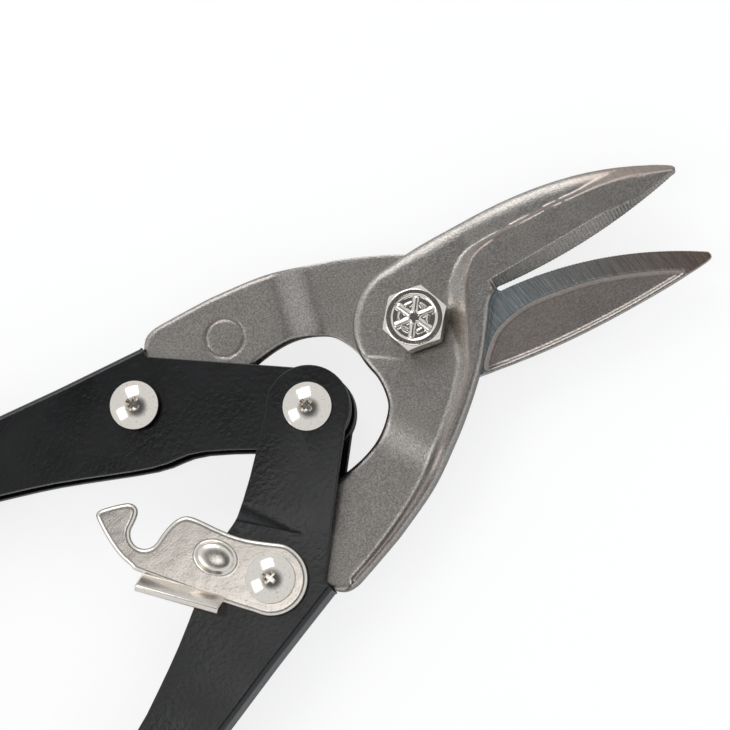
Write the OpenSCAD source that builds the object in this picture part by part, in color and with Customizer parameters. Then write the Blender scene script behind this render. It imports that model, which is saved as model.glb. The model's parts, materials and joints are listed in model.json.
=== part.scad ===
// Left-cutting aviation snips: two offset jaws, a compound linkage of two
// channel handles, a torsion spring and a hook latch.
// +X runs from the handles to the blade tips, +Z is the thickness of the tool.
// The origin is on the main pivot's axis, in the plane that the tool lies on.
// The handles are shown sprung fully open.

/* [Linkage] */
// Distance from the main pivot to the pivot of each arm
arm_reach = 64; // [58:0.5:77]
// Angle of each arm from the tool's axis, open
arm_angle = 22.33; // [21:0.01:24]
// Angle of each handle's link from the tool's axis, open
link_angle = 39.79; // [38:0.01:42]
// Distance between the two arm pivots when the latch holds the tool shut
latch_reach = 29.5; // [28:0.25:30]

/* [Blades] */
// Length of each blade from the main pivot
blade_len = 65.2; // [54:0.2:78.4]
// Height of a blade's back above its cutting line
blade_w = 14.9; // [12.4:0.1:17.9]
// How far the front blade's curved cutting edge bows out
cut_bow_front = 3; // [2:0.1:4]
// How far the rear blade's curved cutting edge bows out
cut_bow_rear = 4.7; // [3:0.1:5.6]
// Angle by which the closed blades are turned off the tool's axis
blade_offset = 16.9; // [12:0.1:20]
// Angle between the open blades
jaw_open = 17; // [15:0.1:18]
// Radius of the jaws' round hubs
hub_r = 14.4; // [13:0.1:17.3]
// Thickness of a jaw at its hub
plate_t = 4.6; // [3.8:0.1:5.6]
// Thickness of a blade along its back
rib_t = 3.8; // [3.2:0.1:4.6]
// Thickness of a blade's recessed web
web_t = 2.2; // [1.6:0.1:2.8]
// Depth of the hollow ground into the blades' inner faces
hollow = 0.6; // [0.3:0.1:0.8]
// Gap between the inner faces of the jaws
jaw_gap = 0.1; // [0.06:0.01:0.2]

/* [Arms] */
// Thickness of the arms
arm_t = 5; // [4.2:0.1:6]
// Height of an arm's outer edge above its centre line
arm_outer = 20.1; // [17.5:0.1:24]
// Height of an arm's inner edge above its centre line
arm_inner = 4.6; // [3.8:0.1:5.5]
// Radius of the eye at the end of an arm
eye_r = 7.5; // [6.3:0.1:8.2]

/* [Handles] */
// Sheet thickness of the handles
sheet_t = 1.8; // [1.5:0.1:2.2]
// Radius of the handles' ears round the handle pivot
ear_r = 9.2; // [7.8:0.1:11]
// Height of a handle's closed edge above its link line, at the arm pivot
spine_h = 12.9; // [12:0.1:15.5]
// Width of a handle where its straight part begins
handle_w = 15.6; // [13:0.1:18.8]
// Length of a handle's straight part
handle_len = 88; // [74:1:106]
// Clearance between parts that slide on each other, on each side
slide_gap = 0.15; // [0.1:0.01:0.2]

/* [Grips] */
// Length of the moulded grips
grip_len = 92; // [77:1:111]
// Wall of a grip at the handle's edges
grip_wall = 2.7; // [2.2:0.1:3.3]
// Distance of a grip from the start of the handle's straight part
grip_start = 6; // [5:0.5:8]

/* [Pivots] */
// Diameter of the main pivot bolt
bolt_d = 7.94; // [6.6:0.01:9.6]
// Width across the flats of the bolt's hexagon head
bolt_af = 12.7; // [12:0.1:14]
// Height of the bolt's head
bolt_head_h = 4.6; // [3.8:0.1:5.5]
// Height of the nut on the main pivot
bolt_nut_h = 4; // [3.4:0.1:5]
// Diameter of the screws in the handles
screw_d = 5; // [4.2:0.1:6]
// Diameter of the screws' domed heads
screw_head_d = 10.8; // [9:0.1:12]
// Height of the screws' domed heads
screw_head_h = 2.5; // [2.1:0.1:3]
// Height of the screws' nuts
screw_nut_h = 2.6; // [2.2:0.1:3]
// Radial clearance of a turning hole on its pin
pin_gap = 0.05; // [0.03:0.01:0.09]
// Radial clearance of the front arm on its screw
loose_gap = 0.4; // [0.3:0.01:0.5]

/* [Latch] */
// Sheet thickness of the latch
latch_t = 1.6; // [1.3:0.1:1.9]
// Height of the latch's thumb tab
tab_h = 5; // [4.2:0.1:6]
// Wall of the sleeve post that the latch hooks
post_wall = 0.5; // [0.4:0.05:0.6]

/* [Spring] */
// Wire diameter of the handle spring
wire_d = 1.5; // [1.2:0.1:1.6]
// Turns of the handle spring
spring_turns = 3; // [2:1:3]

/* [Hidden] */

// Thin gap between a washer or a head and the face it bears on
face_gap = 0.05;
washer_t = 0.8;
thin_washer_t = 0.5;
// How far the bolt and the screws stand out of their nuts
bolt_out = 0.55;
screw_out = 0.3;
eps = 0.01;
tall = 60;

// Linkage: the handles' pivot and the handles' links follow from the arms
fold = link_angle - arm_angle;
link_reach = arm_reach * sin(arm_angle) / sin(link_angle);
pivot_back = arm_reach * cos(arm_angle) - link_reach * cos(link_angle);

// Levels through the thickness, from the plane where the jaws meet
hub_top = jaw_gap / 2 + plate_t;
mid_z = hub_top + washer_t + bolt_nut_h + bolt_out;
arm_top = arm_t / 2;
wall_in = arm_top + slide_gap;
wall_out = wall_in + sheet_t;
ear_in = wall_out + slide_gap;
ear_out = ear_in + sheet_t;
latch_low = wall_out + thin_washer_t - 0.05;
latch_top = latch_low + latch_t;

// Holes and pins
pin_r = screw_d / 2;
hole_r = pin_r + pin_gap;
loose_r = pin_r + loose_gap;
bush_r = pin_r + 1.2;
post_r = pin_r + post_wall;
bolt_r = bolt_d / 2;

// Handle outline, in a frame on the handle pivot with +X to the arm pivot
front_slope = 0.065;
front_h = ear_r - 0.5;
spine_x = link_reach - 0.4;
waist = [link_reach + 36, -13.2];
// Distance of a handle's open edge from its link line: the two edges just clear when latched
inner_h = latch_reach / 2 - 3;
grip_turn = -18.5;
flare_start = link_reach - 15;
flare_end = link_reach - 10.5;

// Points along a smooth curve through the given ones
function knot(p, i) = p[min(max(i, 0), len(p) - 1)];
function blend(a, b, c, d, t) = 0.5 * (2 * b + (c - a) * t + (2 * a - 5 * b + 4 * c - d) * t * t
    + (3 * b - a - 3 * c + d) * t * t * t);
function curve(p, n = 4) = concat(
    [for (i = [0:len(p) - 2], j = [0:n - 1]) blend(knot(p, i - 1), p[i], p[i + 1], knot(p, i + 2), j / n)],
    [p[len(p) - 1]]);
function turn(p, a) = [p[0] * cos(a) - p[1] * sin(a), p[0] * sin(a) + p[1] * cos(a)];
function dir(a) = [cos(a), sin(a)];

// A point of the handle's frame in the arm's frame
function in_arm(p) = [arm_reach, 0] + turn(p - [link_reach, 0], fold);

// Frames. Both halves are drawn for the lower side; the upper side is their mirror image.
module on_arm() { rotate(arm_angle - 180) children(); }
module on_link() { translate([-pivot_back, 0]) rotate(link_angle - 180) children(); }
module at_arm_pivot() { on_arm() translate([arm_reach, 0]) children(); }
module on_grip() { on_link() translate(waist) rotate(grip_turn) children(); }
module upper_side() { mirror([0, 1, 0]) children(); }
// A plate between two levels from the middle of the tool
module plate(low, high) { translate([0, 0, mid_z + low]) linear_extrude(high - low) children(); }
// A round bar between two levels
module bar(r, low, high) { translate([0, 0, mid_z + low]) cylinder(r = r, h = high - low, $fn = 64); }

// ---- Jaws ----
// Blade outline: +X to the tip, +Y to the back. t runs from the pivot, 0, to the tip, 1.
root_t = 0.29;
function cut_y(t, bow) = -bow * (1 - pow((t - 0.56) / 0.44, 2));
function back_y(t, belly) = blade_w * (1 - 0.9 * pow(t, belly));
// The lower edge of the back rib
function rib_y(t) = 0.11 * blade_w + 0.42 * blade_w * pow(max(0, 1 - t), 0.8);
// The upper edge of the ground strip on the inner face
function strip_y(t) = 10 * pow(1 - t, 2) - 1.3 + 3.4 * pow(t, 4);

module blade_plan(belly, bow) {
    tip = [blade_len - 0.9, 0.75];
    polygon(concat(
        [[0, -hub_r * 0.6], [hub_r * 0.98, -hub_r * 0.46]],
        [for (i = [0:12]) let (t = root_t + (0.98 - root_t) * i / 12) [t * blade_len, cut_y(t, bow)]],
        [for (a = [-50:30:70]) tip + 0.95 * dir(a)],
        [for (i = [19:-1:2]) let (t = i / 20) [t * blade_len, back_y(t, belly)]],
        [hub_r * 0.99 * dir(92)]));
}

module arm_plan() {
    outer = [[-hub_r * 0.82, hub_r * 0.785], [-hub_r * 0.62, hub_r * 0.89], [-hub_r * 0.3, hub_r * 1.02],
        [1.2, hub_r * 1.16], [arm_reach * 0.16, arm_outer * 0.93], [arm_reach * 0.31, arm_outer * 0.995],
        [arm_reach * 0.48, arm_outer * 1.01], [arm_reach * 0.67, arm_outer * 0.945]];
    heel = [in_arm([spine_x - 3.6, spine_h + 5.9]), in_arm([spine_x - 1.6, spine_h + 4.2]),
        in_arm([spine_x - 0.4, spine_h + 2.5]), in_arm([spine_x - 0.3, spine_h + 0.3]),
        in_arm([spine_x - 0.3, eye_r + 1.9])];
    inner = [[arm_reach - 1, -eye_r + 0.1], [arm_reach * 0.87, -eye_r * 0.72], [arm_reach * 0.7, -2.2],
        [arm_reach * 0.56, arm_inner * 0.45], [arm_reach * 0.47, arm_inner * 0.87], [hub_r * 1.7, arm_inner],
        [hub_r * 1.36, arm_inner * 0.78], [hub_r * 1.17, arm_inner * 0.3], [hub_r * 1.03, -1.6], [hub_r * 0.9, -5.2]];
    polygon(concat([[1, 0]], curve(outer), curve(heel, 3), [[arm_reach + 1, eye_r - 0.1]], curve(inner)));
}

module jaw_blank(blade_turn, belly, bow) {
    low = -arm_top;
    high = hub_top + eps;
    bar(hub_r, low, high);
    plate(low, high) rotate(blade_turn) blade_plan(belly, bow);
    plate(low, high) on_arm() arm_plan();
    at_arm_pivot() bar(eye_r, low, high);
    // Web that joins the blade's root to the arm
    plate(low, high) polygon([[-1, 1], turn([-hub_r * 0.5, hub_r * 0.92], arm_angle - 180),
        turn([-hub_r * 0.81, hub_r * 0.78], arm_angle - 180), turn([hub_r * 0.97, -hub_r * 0.45], blade_turn),
        turn([hub_r * 0.97, hub_r * 0.3], blade_turn)]);
}

// Side view along the arm: the hub lies on one side of the middle, the arm on the middle
module arm_profile() {
    step_in = hub_r * 1.36;
    step_out = arm_reach * 0.455;
    on_arm() translate([0, tall, mid_z]) rotate([90, 0, 0]) linear_extrude(2 * tall)
        polygon([[-2 * tall, jaw_gap / 2], [step_in, jaw_gap / 2], [step_out, -arm_top], [2 * tall, -arm_top],
            [2 * tall, arm_top], [step_out, arm_top], [step_in, hub_top], [-2 * tall, hub_top]]);
}

// Side view along the blade: its back steps down from the hub and thins towards the tip
module blade_profile(blade_turn) {
    rotate(blade_turn) translate([0, tall, mid_z]) rotate([90, 0, 0]) linear_extrude(2 * tall)
        polygon([[-2 * tall, -tall], [2 * tall, -tall], [2 * tall, jaw_gap / 2 + rib_t * 0.6],
            [blade_len, jaw_gap / 2 + rib_t * 0.72], [blade_len * 0.29, jaw_gap / 2 + rib_t],
            [blade_len * 0.17, hub_top], [blade_len * 0.16, tall], [-2 * tall, tall]]);
}

module jaw(blade_turn, belly, bow) {
    difference() {
        intersection() {
            union() jaw_blank(blade_turn, belly, bow);
            arm_profile();
            blade_profile(blade_turn);
        }
        // Recessed web in front of the back rib
        rotate(blade_turn) plate(jaw_gap / 2 + web_t, hub_top + 1)
            polygon(concat([[hub_r * 1.12, -hub_r], [hub_r * 1.12, -hub_r * 0.1], [hub_r * 1.2, blade_w * 0.36],
                [hub_r * 1.36, blade_w * 0.5]],
                [for (i = [0:10]) let (t = 0.36 + 0.66 * i / 10) [t * blade_len, rib_y(t)]],
                [[blade_len * 1.02, -hub_r]]));
        // Bevel down to the cutting edge
        rotate(blade_turn) translate([root_t * blade_len - 1, 0, mid_z]) rotate([90, 0, 90]) linear_extrude(blade_len)
            polygon([[0.6 - bow * 0.2, jaw_gap / 2 + web_t + eps], [-bow - eps, jaw_gap / 2 + 0.5],
                [-bow - 9, jaw_gap / 2 + 0.5], [-bow - 9, jaw_gap / 2 + web_t + eps]]);
        // Hollow in the inner face behind the ground strip
        rotate(blade_turn) plate(jaw_gap / 2 - 1, jaw_gap / 2 + hollow)
            polygon(concat([for (i = [0:12]) let (t = 0.26 + 0.66 * i / 12) [t * blade_len, strip_y(t)]],
                [for (i = [10:-1:0]) let (t = 0.26 + 0.62 * i / 10) [t * blade_len, back_y(t, belly) - 1.3]]));
        bar(bolt_r + pin_gap, -hub_top - 1, hub_top + 1);
    }
}

module jaw_front() {
    color("silver") difference() {
        jaw(jaw_open / 2 - blade_offset, 3.3, cut_bow_front);
        at_arm_pivot() bar(loose_r, -tall, tall);
    }
}

module jaw_rear() {
    color("darkgray") upper_side() difference() {
        translate([0, 0, 2 * mid_z]) mirror([0, 0, 1]) jaw(jaw_open / 2 + blade_offset, 1.8, cut_bow_rear);
        at_arm_pivot() bar(hole_r, -tall, tall);
    }
}

// ---- Main pivot ----
module pivot_bolt() {
    color("gainsboro") {
        bar(bolt_r, -mid_z, hub_top + eps);
        intersection() {
            plate(hub_top, hub_top + bolt_head_h) rotate(40.8) circle(r = bolt_af / 2 / cos(30), $fn = 6);
            // Chamfer round the head's top
            translate([0, 0, mid_z + hub_top - 12]) cylinder(r1 = bolt_af / 2 + 12.9, r2 = bolt_af / 2 - 0.1,
                h = 12 + bolt_head_h, $fn = 72);
        }
    }
}

module pivot_washer() {
    color("silver") difference() {
        bar(bolt_af * 0.6, -hub_top - washer_t, -hub_top);
        bar(bolt_r + pin_gap, -tall, tall);
    }
}

module pivot_nut() {
    low = -hub_top - washer_t - bolt_nut_h;
    color("silver") difference() {
        plate(low, low + bolt_nut_h) rotate(20) circle(r = bolt_af / 2 / cos(30), $fn = 6);
        bar(bolt_r, -tall, tall);
    }
}

// ---- Handles ----
module wall_plan(front) {
    rear = waist + turn([handle_len, 0], grip_turn);
    side = turn([0, handle_w / 2], grip_turn);
    polygon(concat([[0, -ear_r + 0.4], [0, front], [spine_x - 1.6, front + front_slope * spine_x],
        [spine_x, spine_h + 0.5]],
        curve([[link_reach, spine_h], [(link_reach + waist[0]) / 2, spine_h - 9], waist + side], 4),
        [rear + side, rear - side],
        curve([waist - side, [(link_reach + waist[0]) / 2, -inner_h - 5.2], [link_reach * 0.9, -inner_h - 1.5],
            [link_reach * 0.6, -inner_h + 2.2], [0, -ear_r + 0.4]], 4)));
    circle(ear_r, $fn = 80);
}

// The closed edge of the channel
module spine_plan() {
    intersection() {
        wall_plan(front_h);
        translate([spine_x, -tall * 3]) square([tall * 4, tall * 6]);
        difference() {
            translate([-tall, -tall * 3]) square(tall * 6);
            spine_inner();
        }
    }
}

module spine_inner() {
    side = turn([0, handle_w / 2 - sheet_t], grip_turn);
    rear = waist + turn([handle_len + 1, 0], grip_turn);
    drop = sheet_t / cos(26.4);
    polygon(concat(curve([[spine_x - 1, spine_h + 0.5 - drop], [link_reach, spine_h - drop],
        [(link_reach + waist[0]) / 2, spine_h - 9 - drop], waist + side], 4), [rear + side, rear - side * 8,
        [spine_x - 1, -tall]]));
}

module handle(ear_low) {
    difference() {
        on_link() union() {
            for (s = [0, 1]) translate([0, 0, 2 * mid_z * s]) mirror([0, 0, s]) {
                if (ear_low) plate(wall_in, wall_out) wall_plan(front_h);
                else flared_wall();
            }
            plate(-wall_in - eps, wall_in + eps) spine_plan();
        }
        at_arm_pivot() bar(hole_r, -tall, tall);
        translate([-pivot_back, 0]) bar(ear_low ? bush_r + pin_gap : hole_r, -tall, tall);
    }
}

// A wall whose ear steps out over the other handle's ear
module flared_wall() {
    intersection() {
        plate(wall_in - eps, ear_out + eps) wall_plan(front_h);
        translate([0, tall * 2, mid_z]) rotate([90, 0, 0]) linear_extrude(tall * 4)
            polygon([[-tall, ear_in], [flare_start, ear_in], [flare_end, wall_in], [tall * 4, wall_in],
                [tall * 4, wall_out], [flare_end, wall_out], [flare_start, ear_out], [-tall, ear_out]]);
    }
}

module handle_upper() { color("black") upper_side() handle(true); }
module handle_lower() { color("black") handle(false); }

// ---- Grips ----
module grip() {
    w = handle_w / 2 + grip_wall;
    start = grip_start;
    end = grip_start + grip_len;
    on_grip() difference() {
        plate(-mid_z, mid_z) polygon(curve([[start, w + 1.6], [start + 3, w + 2.2], [start + 8, w + 0.6],
            [start + grip_len * 0.3, w + 0.4], [start + grip_len * 0.6, w + 1.2], [end - 14, w - 0.4],
            [end - 4, w - 3], [end, w - 7], [end, -w + 7], [end - 4, -w + 3], [end - 16, -w + 0.3],
            [start + grip_len * 0.5, -w - 0.4], [start + 12, -w], [start + 4, -w - 1.8], [start, -w - 1.4]], 3));
        // Pocket for the channel
        plate(-wall_out - face_gap, wall_out + face_gap)
            translate([start - 1, -handle_w / 2 - face_gap])
            square([handle_len - start + 1.1, handle_w + 2 * face_gap]);
    }
}

module grip_upper() { color("firebrick") upper_side() grip(); }
module grip_lower() { color("firebrick") grip(); }

// ---- Screws, washers and nuts ----
module screw(head_low, tip) {
    bar(pin_r, tip, head_low + eps);
    // Domed head with a cross recess
    translate([0, 0, mid_z + head_low]) difference() {
        rotate_extrude($fn = 64) intersection() {
            square([screw_head_d / 2, screw_head_h]);
            translate([0, screw_head_h - 9.4]) circle(9.4, $fn = 96);
        }
        for (a = [0, 90]) rotate(a + 20) translate([-2.4, -0.55, screw_head_h - 1.5]) cube([4.8, 1.1, 3]);
    }
}

module ring(outer, inner, low, high) {
    difference() {
        bar(outer, low, high);
        bar(inner, low - 1, high + 1);
    }
}

module hex_nut(af, inner, low, high) {
    difference() {
        plate(low, high) circle(r = af / 2 / cos(30), $fn = 6);
        bar(inner, low - 1, high + 1);
    }
}

module washer_under(face) { ring(screw_d * 1.05, pin_r, -face - thin_washer_t, -face); }
module nut_under(face) {
    hex_nut(screw_d * 1.6, pin_r, -face - thin_washer_t - screw_nut_h, -face - thin_washer_t);
}
function tip_under(face) = -face - thin_washer_t - screw_nut_h - screw_out;

module at_handle_pivot() { translate([-pivot_back, 0]) children(); }

module handle_pivot_screw() { color("silver") at_handle_pivot() screw(ear_out, tip_under(ear_out)); }
module handle_pivot_bushing() {
    color("goldenrod") at_handle_pivot() ring(bush_r, pin_r, -ear_in, ear_in);
}
module handle_pivot_washer() { color("silver") at_handle_pivot() washer_under(ear_out); }
module handle_pivot_nut() { color("silver") at_handle_pivot() nut_under(ear_out); }

module link_screw_upper() {
    color("silver") upper_side() at_arm_pivot() screw(latch_top + face_gap * 2, tip_under(wall_out));
}
module link_washer_upper() { color("silver") upper_side() at_arm_pivot() washer_under(wall_out); }
module link_nut_upper() { color("silver") upper_side() at_arm_pivot() nut_under(wall_out); }
// The post that the latch hooks
module latch_post() {
    color("silver") upper_side() at_arm_pivot() ring(post_r, pin_r, wall_out, latch_top + face_gap * 2);
}

module link_screw_lower() { color("silver") at_arm_pivot() screw(latch_top + face_gap, tip_under(wall_out)); }
module link_washer_lower() { color("silver") at_arm_pivot() washer_under(wall_out); }
module link_nut_lower() { color("silver") at_arm_pivot() nut_under(wall_out); }

// ---- Latch ----
// Drawn with its pivot at the origin and the middle of its hook's notch on +X
latch_turn = 121.5;
// Rise of the thumb tab from the latch's plane
tab_lean = 52;
notch_r = post_r + 0.35;

module latch_plan() {
    difference() {
        union() {
            circle(8, $fn = 64);
            polygon(concat([[0, 8], [latch_reach * 0.26, 8.2], [latch_reach * 0.9, 8.1]],
                curve([[latch_reach, 7.6], [latch_reach + 3.6, 6.3], [latch_reach + 7.6, 3.6],
                    [latch_reach + 11.2, 0.4], [latch_reach + 11.7, -0.6], [latch_reach + 11.1, -1.6]], 3),
                curve([[latch_reach + 8.6, -3.4], [latch_reach + 5.8, -5.3], [latch_reach + 4.2, -5.2],
                    [latch_reach + 3.2, -3.9], [latch_reach + 3.2, -1.2]], 3),
                [[latch_reach, 0]],
                curve([[latch_reach - 3.5, -0.4], [latch_reach - 4.4, -3.2], [latch_reach - 6, -5.7],
                    [latch_reach - 8.6, -6.8], [latch_reach * 0.45, -6.2], [latch_reach * 0.29, -6.1], [2.4, -7.6]], 3)));
        }
        translate([latch_reach, 0]) circle(notch_r, $fn = 48);
        circle(hole_r, $fn = 48);
    }
}

module latch() {
    color("gainsboro") at_arm_pivot() rotate(180 - arm_angle + latch_turn) {
        plate(latch_low, latch_top) latch_plan();
        // Thumb tab, bent up and leaning out along one edge
        translate([latch_reach * 0.27, 6.9, mid_z + latch_top]) rotate([tab_lean, 0, 4])
            translate([0, -1.2, -latch_t]) cube([latch_reach * 0.64, tab_h + 1.2, latch_t]);
        // Pressed dimple
        intersection() {
            translate([latch_reach * 0.45, -0.5, mid_z + latch_top - 4.4]) sphere(5.9, $fn = 48);
            plate(latch_top - 0.5, latch_top + 3) circle(60);
        }
    }
}

module latch_washer() { color("silver") at_arm_pivot() ring(screw_d * 1.15, hole_r, wall_out, latch_low); }

// ---- Spring ----
// A closed coil round the bushing, and two straight legs that bear on the arms' eyes
coil_r = bush_r + 0.3 + wire_d / 2;
leg_gap = eye_r + 0.3 + wire_d / 2;
leg_turn = asin((leg_gap - coil_r) / link_reach);
coil_h = spring_turns * wire_d;

module return_spring() {
    color("dimgray") at_handle_pivot() {
        ring(coil_r + wire_d / 2, coil_r - wire_d / 2, -coil_h / 2, coil_h / 2);
        for (s = [1, -1]) translate([0, 0, mid_z + s * (coil_h - wire_d) / 2])
            rotate(s * (180 - link_angle + leg_turn)) translate([0, s * coil_r, 0]) rotate([0, 90, 0])
            cylinder(d = wire_d - eps, h = link_reach * 1.12, $fn = 24);
    }
}

jaw_front();
jaw_rear();
pivot_bolt();
pivot_washer();
pivot_nut();
handle_upper();
handle_lower();
grip_upper();
grip_lower();
handle_pivot_screw();
handle_pivot_bushing();
handle_pivot_washer();
handle_pivot_nut();
link_screw_upper();
link_washer_upper();
link_nut_upper();
latch_post();
link_screw_lower();
link_washer_lower();
link_nut_lower();
latch();
latch_washer();
return_spring();
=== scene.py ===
import json
import math

import bmesh
import bpy
import numpy as np
from mathutils import Matrix, Vector


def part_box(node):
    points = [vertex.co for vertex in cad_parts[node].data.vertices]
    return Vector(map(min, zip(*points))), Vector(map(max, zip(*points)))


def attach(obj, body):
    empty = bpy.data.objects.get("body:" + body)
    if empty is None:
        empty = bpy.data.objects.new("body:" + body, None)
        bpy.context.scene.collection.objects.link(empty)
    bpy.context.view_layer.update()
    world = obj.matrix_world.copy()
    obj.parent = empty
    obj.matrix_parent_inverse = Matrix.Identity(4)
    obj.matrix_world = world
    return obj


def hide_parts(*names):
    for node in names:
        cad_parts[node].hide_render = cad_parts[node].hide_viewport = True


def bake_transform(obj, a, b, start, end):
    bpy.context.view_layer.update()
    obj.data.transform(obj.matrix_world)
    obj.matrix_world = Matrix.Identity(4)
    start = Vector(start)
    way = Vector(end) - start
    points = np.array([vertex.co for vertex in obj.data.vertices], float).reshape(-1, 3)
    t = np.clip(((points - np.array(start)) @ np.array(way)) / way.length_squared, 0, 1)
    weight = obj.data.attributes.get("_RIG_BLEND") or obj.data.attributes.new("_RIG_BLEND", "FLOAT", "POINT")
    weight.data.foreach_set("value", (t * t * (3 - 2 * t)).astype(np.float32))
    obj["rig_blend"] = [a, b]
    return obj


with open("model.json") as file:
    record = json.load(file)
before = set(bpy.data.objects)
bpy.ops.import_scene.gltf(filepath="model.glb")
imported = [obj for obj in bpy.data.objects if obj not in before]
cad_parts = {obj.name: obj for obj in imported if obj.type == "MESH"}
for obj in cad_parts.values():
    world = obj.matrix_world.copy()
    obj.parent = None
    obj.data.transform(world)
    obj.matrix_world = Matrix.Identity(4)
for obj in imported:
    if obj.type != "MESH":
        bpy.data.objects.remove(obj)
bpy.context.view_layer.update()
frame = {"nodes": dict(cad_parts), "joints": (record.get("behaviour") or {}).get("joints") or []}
cadNodes = frame["nodes"]
pivots = {j["name"]: Vector(j["pos_m"]) * 1000 for j in frame["joints"]}  # mm
midZ = pivots["main_pivot"].z  # height of the plane where the jaws meet
toMetres = Matrix.Scale(0.001, 4)
print("frame loaded")


# ---- Camera, floor and light ----
view = {
    "tilt": 12,  # off straight down, towards -Y
    "roll": 38.9,
    "distance": 0.7,
    "lens": 160.5,
    "aim": (0.01054, 0.01032),  # the middle of the view lies this far right of and below the bolt's head
}


def addCamera():
    tilt = math.radians(view["tilt"])
    roll = math.radians(view["roll"])
    forward = Vector((0, math.sin(tilt), -math.cos(tilt)))
    level = Vector((1, 0, 0))
    upright = Vector((0, math.cos(tilt), math.sin(tilt)))
    right = math.cos(roll) * level - math.sin(roll) * upright
    up = math.sin(roll) * level + math.cos(roll) * upright
    headTop = Vector((0, 0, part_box("pivot_bolt")[1][2]))
    place = headTop - view["distance"] * forward - view["aim"][0] * right - view["aim"][1] * up
    camera = bpy.data.objects.new("camera", bpy.data.cameras.new("camera"))
    camera.data.lens = view["lens"]
    camera.data.clip_start = 0.01
    camera.data.clip_end = 20
    turn = Matrix((right, up, -forward)).transposed().to_4x4()
    camera.matrix_world = Matrix.Translation(place) @ turn
    bpy.context.scene.collection.objects.link(camera)
    bpy.context.scene.camera = camera


def toLinear(hexText):
    parts = [int(hexText[i:i + 2], 16) / 255 for i in (1, 3, 5)]
    return [c / 12.92 if c < 0.04045 else ((c + 0.055) / 1.055) ** 2.4 for c in parts] + [1]


def addNode(tree, kind, inputs=None, **settings):
    # inputs: socket name or number -> a value, or another node's output socket
    node = tree.nodes.new(kind)
    for name, value in settings.items():
        setattr(node, name, value)
    for name, value in (inputs or {}).items():
        if isinstance(value, bpy.types.NodeSocket):
            tree.links.new(value, node.inputs[name])
        else:
            node.inputs[name].default_value = value
    return node


studio = {
    "floorColour": "#ececec",
    "floorLift": 0.72,  # how much of the paper the camera sees as plain white
    "worldColour": "#eef1f4",
    "worldLevel": (0.12, 0.95),  # straight up, and low down all round
    "lamps": [  # place, size and brightness: a small soft box overhead, and large ones on two sides
        ("overheadBox", (-0.14, 0.06, 1.0), 0.24, 1.5),
        ("farBox", (0.3, 0.95, 0.85), 0.7, 2.2),
        ("leftBox", (-0.95, 0.3, 0.85), 0.6, 1.7),
    ],
}


def addStudio():
    scene = bpy.context.scene
    scene.view_settings.view_transform = "Standard"
    world = bpy.data.worlds.new("studio")
    scene.world = world
    world.use_nodes = True
    tree = world.node_tree
    tree.nodes.clear()
    path = addNode(tree, "ShaderNodeLightPath")
    # The tent's walls are bright and its roof is dim
    heading = addNode(tree, "ShaderNodeTexCoord").outputs["Generated"]
    height = addNode(tree, "ShaderNodeSeparateXYZ", {0: heading}).outputs["Z"]
    level = addNode(tree, "ShaderNodeMapRange", {0: height, 1: 0.97, 2: 0.8, 3: studio["worldLevel"][0],
                                                 4: studio["worldLevel"][1]}, interpolation_type="SMOOTHSTEP")
    soft = addNode(tree, "ShaderNodeBackground",
                   {"Color": toLinear(studio["worldColour"]), "Strength": level.outputs[0]})
    white = addNode(tree, "ShaderNodeBackground", {"Color": toLinear("#ffffff"), "Strength": 1})
    mixed = addNode(tree, "ShaderNodeMixShader",
                    {0: path.outputs["Is Camera Ray"], 1: soft.outputs[0], 2: white.outputs[0]})
    addNode(tree, "ShaderNodeOutputWorld", {"Surface": mixed.outputs[0]})
    for name, place, size, brightness in studio["lamps"]:
        lamp = bpy.data.lights.new(name, "AREA")
        lamp.shape = "SQUARE"
        lamp.size = size
        lamp.energy = brightness * math.pi * size * size
        holder = bpy.data.objects.new(name, lamp)
        holder.location = place
        holder.rotation_euler = (-Vector(place)).to_track_quat("-Z", "Y").to_euler()
        scene.collection.objects.link(holder)
    # White paper that the tool lies on
    bm = bmesh.new()
    bmesh.ops.create_grid(bm, x_segments=1, y_segments=1, size=4)
    mesh = bpy.data.meshes.new("floor")
    bm.to_mesh(mesh)
    bm.free()
    floor = bpy.data.objects.new("floor", mesh)
    scene.collection.objects.link(floor)
    paper = bpy.data.materials.new("white_paper")
    paper.use_nodes = True
    tree = paper.node_tree
    tree.nodes.clear()
    path = addNode(tree, "ShaderNodeLightPath")
    matte = addNode(tree, "ShaderNodeBsdfDiffuse", {"Color": toLinear(studio["floorColour"])})
    lift = addNode(tree, "ShaderNodeMath", {0: path.outputs["Is Camera Ray"], 1: studio["floorLift"]},
                   operation="MULTIPLY")
    glow = addNode(tree, "ShaderNodeEmission", {"Strength": 1.1})
    both = addNode(tree, "ShaderNodeMixShader", {0: lift.outputs[0], 1: matte.outputs[0], 2: glow.outputs[0]})
    addNode(tree, "ShaderNodeOutputMaterial", {"Surface": both.outputs[0]})
    mesh.materials.append(paper)


addCamera()
addStudio()
print("camera and studio ready")


# ---- Materials ----
def perMm(size):
    return 1000 / size  # texture scale for a feature of that many mm, on coordinates in metres


def newMaterial(name):
    material = bpy.data.materials.new(name)
    material.use_nodes = True
    tree = material.node_tree
    tree.nodes.clear()
    surface = addNode(tree, "ShaderNodeBsdfPrincipled")
    addNode(tree, "ShaderNodeOutputMaterial", {"Surface": surface.outputs[0]})
    place = addNode(tree, "ShaderNodeTexCoord").outputs["Object"]
    return material, tree, surface, place


forging = {
    "blasted": ("#bdb8b2", "#8f8a85"), "ground": ("#a9b0b2", "#a09085"), "shade_brown": "#84736d",
    "grit": 0.4, "blastedRough": 0.3, "groundRough": 0.27, "toothPitch": 0.8,
}
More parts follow.
